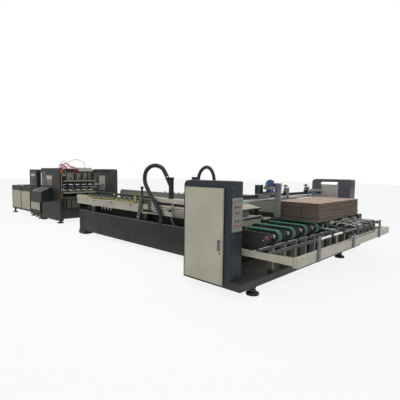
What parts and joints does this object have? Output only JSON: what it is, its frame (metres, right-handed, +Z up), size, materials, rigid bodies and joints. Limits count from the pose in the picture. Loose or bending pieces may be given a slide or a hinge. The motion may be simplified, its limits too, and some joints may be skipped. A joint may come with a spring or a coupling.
{
  "type": "corrugated box making machine",
  "caption": "Corrugated box making line with a belt feeder between cabinet walls, a folding section with belt beams and hoses, a press section with wheel rows, and a delivery table.",
  "frame": {"origin": "on the floor under the middle of the whole line", "axes": "+X along the line towards the feed end, +Y across it to the far side, +Z up"},
  "size_m": [12.42, 4.32, 1.9731],
  "materials": {
    "slate_paint": "satin dark blue-grey machine paint",
    "black_paint": "satin black-grey machine paint",
    "cream_paint": "satin cream machine paint",
    "grey_steel": "ground steel plate",
    "chrome": "polished hard chrome",
    "green_belt": "matt green belt",
    "blue_paint": "gloss blue paint",
    "brass": "worn brass",
    "cardboard": "matt corrugated board",
    "black_rubber": "matt ribbed hose",
    "red_tube": "gloss red tube",
    "panel_alloy": "satin panel"
  },
  "bodies": {
    "line": {"air_lines": "red_tube", "bar_posts": "grey_steel", "belt_stands": "cream_paint", "board_stack": "cardboard", "button_panel": "panel_alloy", "delivery_belt_bed": "grey_steel", "delivery_far_wall": "black_paint", "delivery_near_wall": "black_paint", "duct_post": "black_paint", "dust_hose_1": "black_rubber", "dust_hose_2": "black_rubber", "far_fold_beam": "cream_paint", "far_fold_belt": "green_belt", "far_fold_rod": "brass", "far_transfer_table": "cream_paint", "feed_belt_1": "green_belt", "feed_belt_2": "green_belt", "feed_belt_3": "green_belt", "feed_belt_4": "green_belt", "feed_belt_5": "green_belt", "feed_belt_6": "green_belt", "feed_belt_7": "green_belt", "feed_belt_8": "green_belt", "feed_belt_9": "green_belt", "feeder_far_wall": "slate_paint", "feeder_front_beam": "black_paint", "feeder_near_wall": "slate_paint", "feeder_rear_beam": "black_paint", "folder_far_base": "black_paint", "folder_near_base": "black_paint", "folder_tie_1": "black_paint", "folder_tie_2": "black_paint", "front_bar": "cream_paint", "front_pulley_shaft": "grey_steel", "front_stop_1": "grey_steel", "front_stop_2": "grey_steel", "guide_rail": "slate_paint", "guide_shaft": "chrome", "knob_column": "grey_steel", "link_beam": "black_paint", "manifold_beam": "grey_steel", "middle_belt_beam": "black_paint", "near_fold_beam": "cream_paint", "near_fold_belt": "green_belt", "near_fold_rod": "brass", "near_transfer_table": "cream_paint", "press_base": "black_paint", "press_far_wall": "black_paint", "press_hood": "black_paint", "press_near_wall": "black_paint", "rear_pulley_shaft": "grey_steel", "table_far_side": "black_paint", "table_near_side": "black_paint"},
    "cabinet_door": {"feeder_near_door": "cream_paint"},
    "near_guide": {"near_side_guide": "grey_steel", "guide_motor": "blue_paint"},
    "far_guide": {"far_side_guide": "grey_steel"},
    "upper_wheel_shaft": {"upper_wheel_shaft": "grey_steel"},
    "lower_wheel_shaft": {"lower_wheel_shaft": "grey_steel"},
    "rear_wheel_shaft": {"rear_wheel_shaft": "grey_steel"}
  },
  "joints": [
    {"name": "cabinet_door_hinge", "type": "hinge", "parent": "line", "child": "cabinet_door", "pos_m": [4.6, -2.152, 0.135], "axis": [0, 0, -1], "range_deg": [0, 110]},
    {"name": "near_guide_slide", "type": "slide", "parent": "line", "child": "near_guide", "axis": [0, -1, 0], "range_m": [0, 1.1]},
    {"name": "far_guide_slide", "type": "slide", "parent": "line", "child": "far_guide", "axis": [0, 1, 0], "range_m": [0, 0.35]},
    {"name": "upper_wheel_shaft_turn", "type": "hinge", "parent": "line", "child": "upper_wheel_shaft", "pos_m": [-2.31, 0, 1.175], "axis": [0, 1, 0], "continuous": true},
    {"name": "lower_wheel_shaft_turn", "type": "hinge", "parent": "line", "child": "lower_wheel_shaft", "pos_m": [-2.31, 0, 1], "axis": [0, 1, 0], "continuous": true},
    {"name": "rear_wheel_shaft_turn", "type": "hinge", "parent": "line", "child": "rear_wheel_shaft", "pos_m": [-2.57, 0, 1], "axis": [0, 1, 0], "continuous": true}
  ]
}
